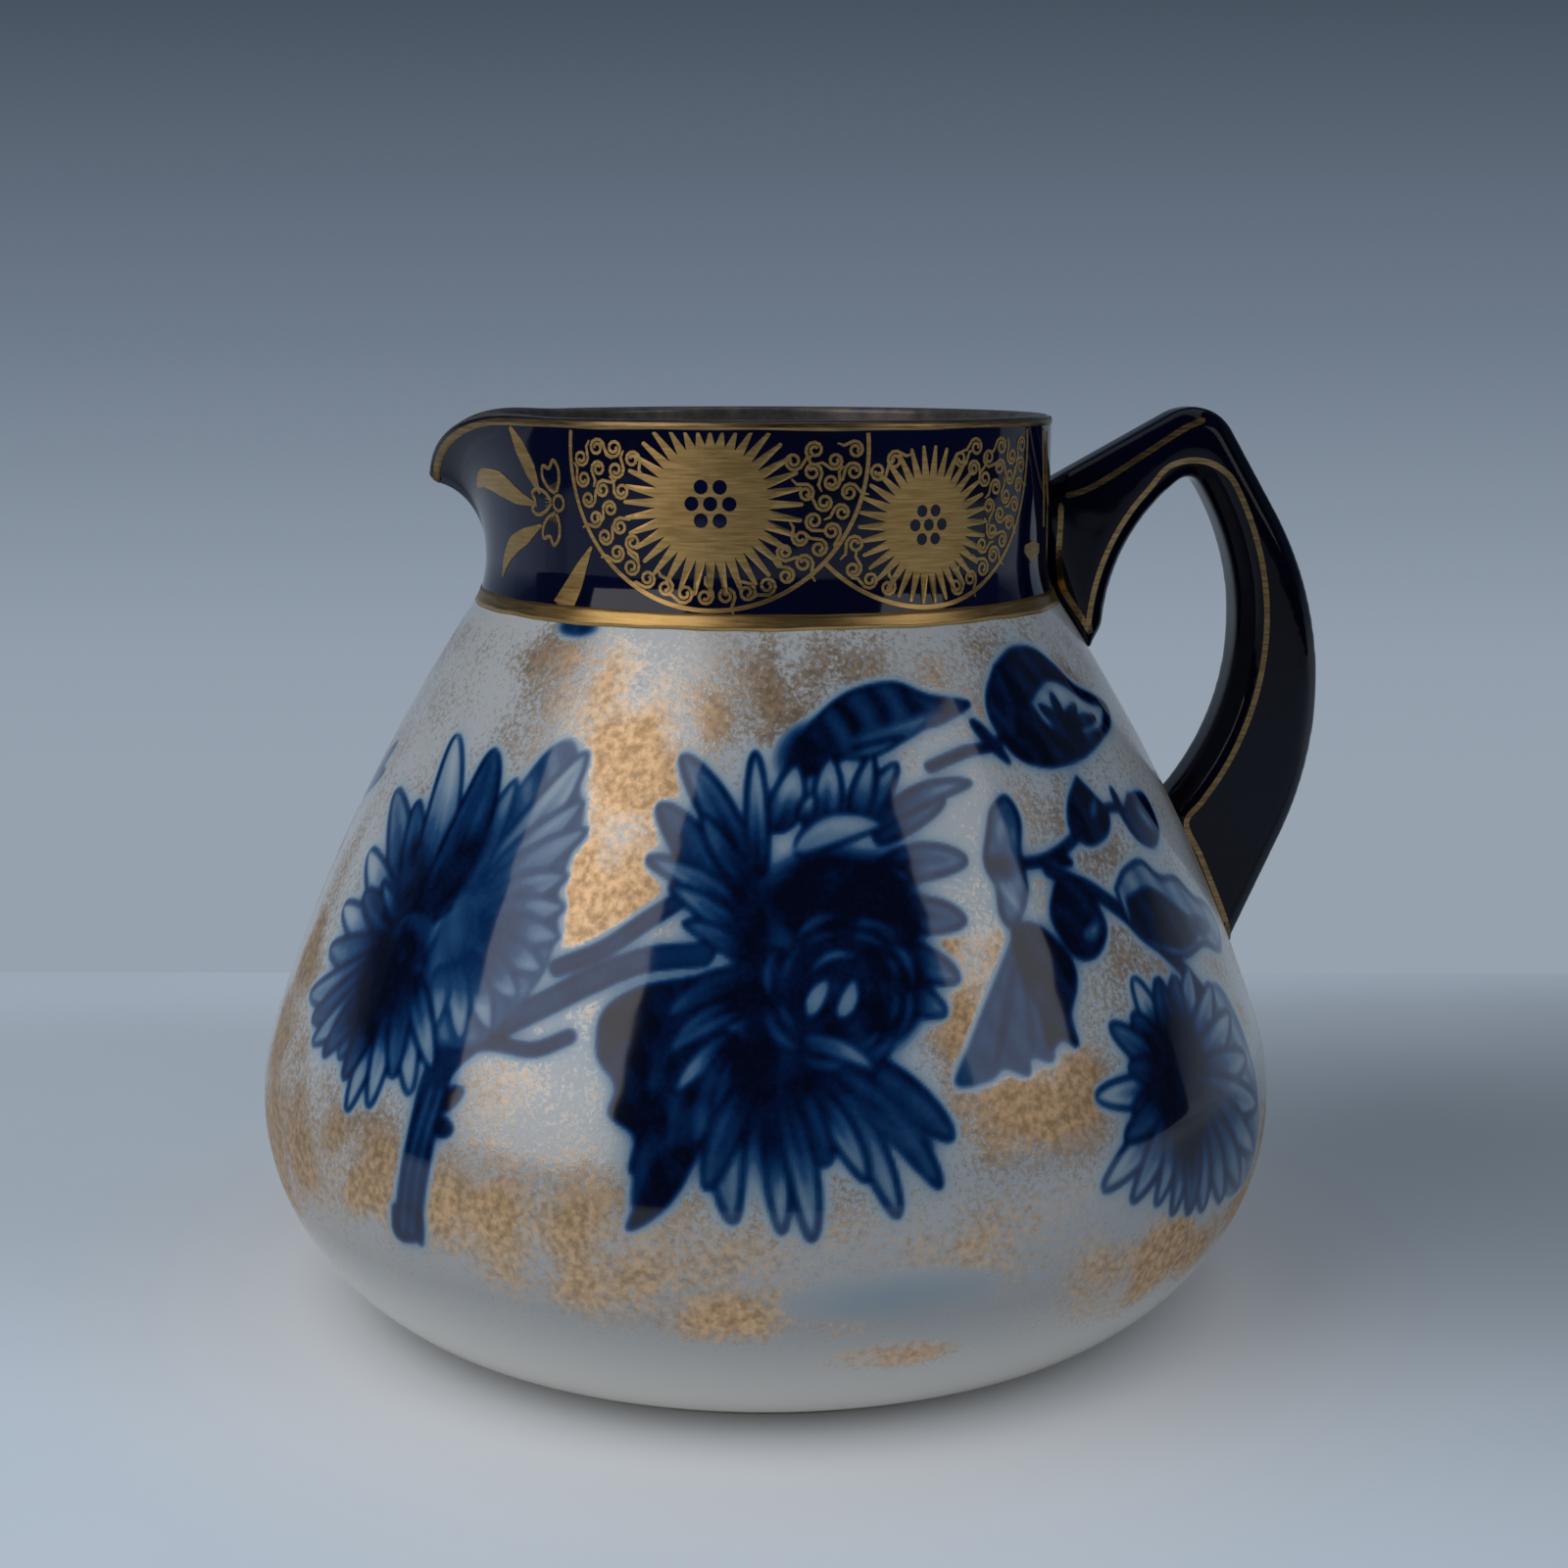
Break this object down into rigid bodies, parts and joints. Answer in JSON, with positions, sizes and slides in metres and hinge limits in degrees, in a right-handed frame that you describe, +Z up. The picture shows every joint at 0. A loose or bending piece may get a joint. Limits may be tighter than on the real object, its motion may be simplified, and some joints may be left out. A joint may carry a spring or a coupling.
{
  "type": "porcelain cream jug",
  "caption": "Squat porcelain cream jug with a cobalt neck, a pinched pouring spout, a gilded loop handle and flow-blue flowers.",
  "frame": {"origin": "on the resting plane, under the middle of the bowl", "axes": "+Z up, +X towards the handle, -X towards the spout"},
  "size_m": [0.1326, 0.126, 0.1088],
  "materials": {
    "glazed_body": "glossy glaze over blue underglaze flowers and sponged gold",
    "foot_biscuit": "unglazed biscuit",
    "cobalt_glaze": "glossy cobalt outside, white glaze inside",
    "glazed_handle": "glossy cobalt side panels, mottled gold and white edges",
    "gilding": "soft burnished gold over the glaze"
  },
  "bodies": {
    "root": {"body_bowl": "glazed_body", "foot_ring": "foot_biscuit", "gilt_handle_back": "gilding", "gilt_handle_front": "gilding", "gilt_lip_line": "gilding", "gilt_rim_line": "gilding", "gilt_ring_back_handle": "gilding", "gilt_ring_back_spout": "gilding", "gilt_ring_front_handle": "gilding", "gilt_ring_front_spout": "gilding", "gilt_shoulder_band": "gilding", "gilt_sun_back_handle": "gilding", "gilt_sun_back_spout": "gilding", "gilt_sun_front_handle": "gilding", "gilt_sun_front_spout": "gilding", "handle": "glazed_handle", "neck_collar": "cobalt_glaze", "pouring_spout": "cobalt_glaze"}
  },
  "joints": []
}
